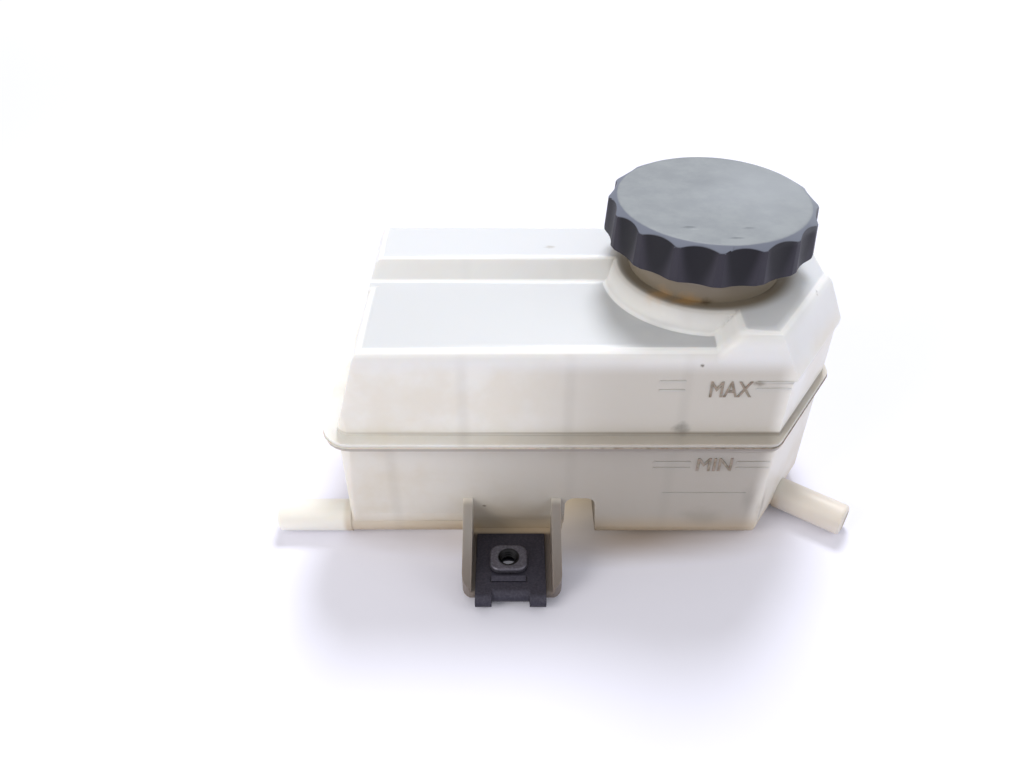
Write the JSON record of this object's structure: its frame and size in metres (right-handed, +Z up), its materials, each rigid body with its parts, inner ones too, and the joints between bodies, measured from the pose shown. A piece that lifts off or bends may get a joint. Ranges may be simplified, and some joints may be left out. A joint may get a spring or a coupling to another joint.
{
  "type": "brake fluid reservoir",
  "caption": "Translucent brake fluid tank of two welded shells with a screw cap, strainer, two hose spigots and a bracket with a clip nut.",
  "frame": {"origin": "centre of the part's bounding box in plan, on the surface that the tank stands on", "axes": "+X along the tank towards the filler end, +Y away from the bracket, +Z up through the filler neck"},
  "size_m": [0.1796, 0.093, 0.0995],
  "materials": {
    "lower_shell": "satin translucent",
    "upper_shell": "satin translucent",
    "strainer": "satin",
    "diaphragm": "matt",
    "cap": "fine grained",
    "clip_steel": "phosphated and oiled",
    "nut_steel": "phosphated"
  },
  "bodies": {
    "tank": {"lower_shell": "lower_shell", "upper_shell": "upper_shell", "filler_strainer": "strainer", "clip_spring": "clip_steel", "clip_nut": "nut_steel"},
    "seal": {"cap_diaphragm": "diaphragm"},
    "cap": {"cap": "cap"}
  },
  "joints": [
    {"name": "cap_lift", "type": "slide", "parent": "tank", "child": "seal", "axis": [0, 0, 1], "range_m": [0, 0.00601]},
    {"name": "cap_turn", "type": "hinge", "parent": "seal", "child": "cap", "pos_m": [0.0385, 0.01735, 0.0955], "axis": [0, 0, 1], "range_deg": [0, 540]}
  ],
  "couplings": [
    {"joint": "cap_lift", "follows": "cap_turn", "m_per_rad": 0.00063662}
  ]
}
